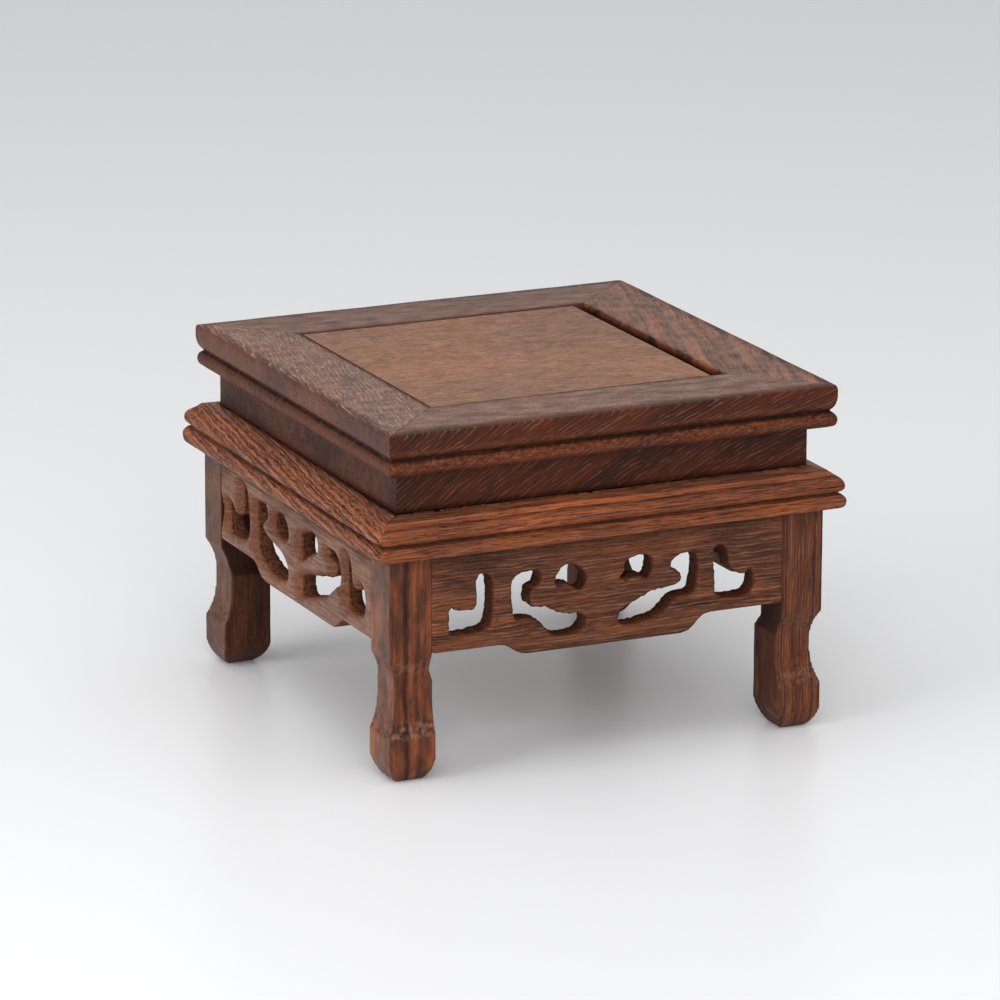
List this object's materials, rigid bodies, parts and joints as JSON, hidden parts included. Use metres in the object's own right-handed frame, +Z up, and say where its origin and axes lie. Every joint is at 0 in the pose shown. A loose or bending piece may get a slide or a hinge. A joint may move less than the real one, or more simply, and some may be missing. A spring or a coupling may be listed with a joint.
{
  "type": "display stand",
  "caption": "Square wooden display stand with a mitred frame top, floating panel, moulding, openwork scroll aprons and block-footed legs.",
  "frame": {"origin": "on the table under the middle of the stand", "axes": "+Z up, +X along the front to the right, +Y from the front to the back"},
  "size_m": [0.1044, 0.1044, 0.0728],
  "materials": {
    "rail_wood": "oiled, satin",
    "panel_wood": "oiled, satin",
    "moulding_wood": "oiled, satin",
    "apron_wood": "oiled, satin",
    "leg_wood": "oiled, satin"
  },
  "bodies": {
    "stand": {"top_rail_front": "rail_wood", "top_rail_back": "rail_wood", "top_rail_left": "rail_wood", "top_rail_right": "rail_wood", "lower_moulding_front": "moulding_wood", "lower_moulding_back": "moulding_wood", "lower_moulding_left": "moulding_wood", "lower_moulding_right": "moulding_wood", "apron_front": "apron_wood", "apron_back": "apron_wood", "apron_left": "apron_wood", "apron_right": "apron_wood", "leg_front_left": "leg_wood", "leg_front_right": "leg_wood", "leg_back_left": "leg_wood", "leg_back_right": "leg_wood"},
    "panel": {"top_panel": "panel_wood"}
  },
  "joints": [
    {"name": "panel_slide", "type": "slide", "parent": "stand", "child": "panel", "axis": [1, 0, 0], "range_m": [0, 0.0025]}
  ]
}
